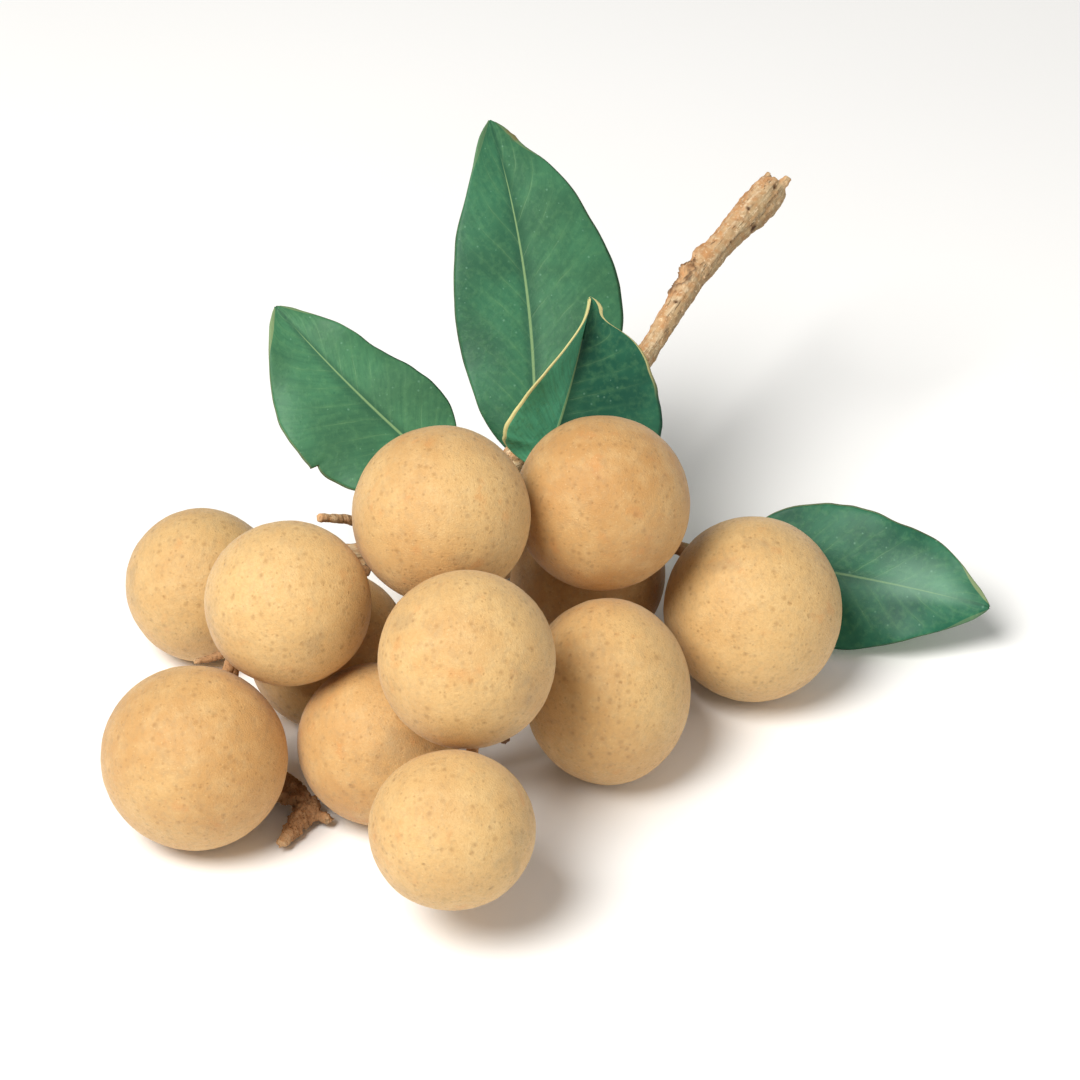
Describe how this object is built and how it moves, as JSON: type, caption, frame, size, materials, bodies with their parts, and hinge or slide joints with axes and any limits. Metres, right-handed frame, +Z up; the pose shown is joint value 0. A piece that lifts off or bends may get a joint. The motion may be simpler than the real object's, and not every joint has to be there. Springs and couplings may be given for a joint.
{
  "type": "longan bunch",
  "caption": "Small bunch of ripe longan fruit with tan leathery skins on a short woody branching stem with glossy green leaves, lying on a table.",
  "frame": {"origin": "middle of the bunch's footprint, on the table", "axes": "+Z up from the table, +X to the right and +Y away, as seen from the front with the stem's broken end at the back right"},
  "size_m": [0.1259, 0.1316, 0.062],
  "materials": {
    "rind": "dry matt tan rind with fine darker specks",
    "leaf": "smooth waxy dark green leaf with a paler midrib",
    "bark": "rough dry bark, broken fibrous ends"
  },
  "bodies": {
    "root": {"fruit_01": "rind", "fruit_02": "rind", "fruit_03": "rind", "fruit_04": "rind", "fruit_05": "rind", "fruit_06": "rind", "fruit_07": "rind", "fruit_08": "rind", "fruit_09": "rind", "fruit_10": "rind", "fruit_11": "rind", "fruit_12": "rind", "fruit_13": "rind", "leaf_folded": "leaf", "leaf_left": "leaf", "leaf_right": "leaf", "leaf_tall": "leaf", "stem": "bark"}
  },
  "joints": []
}
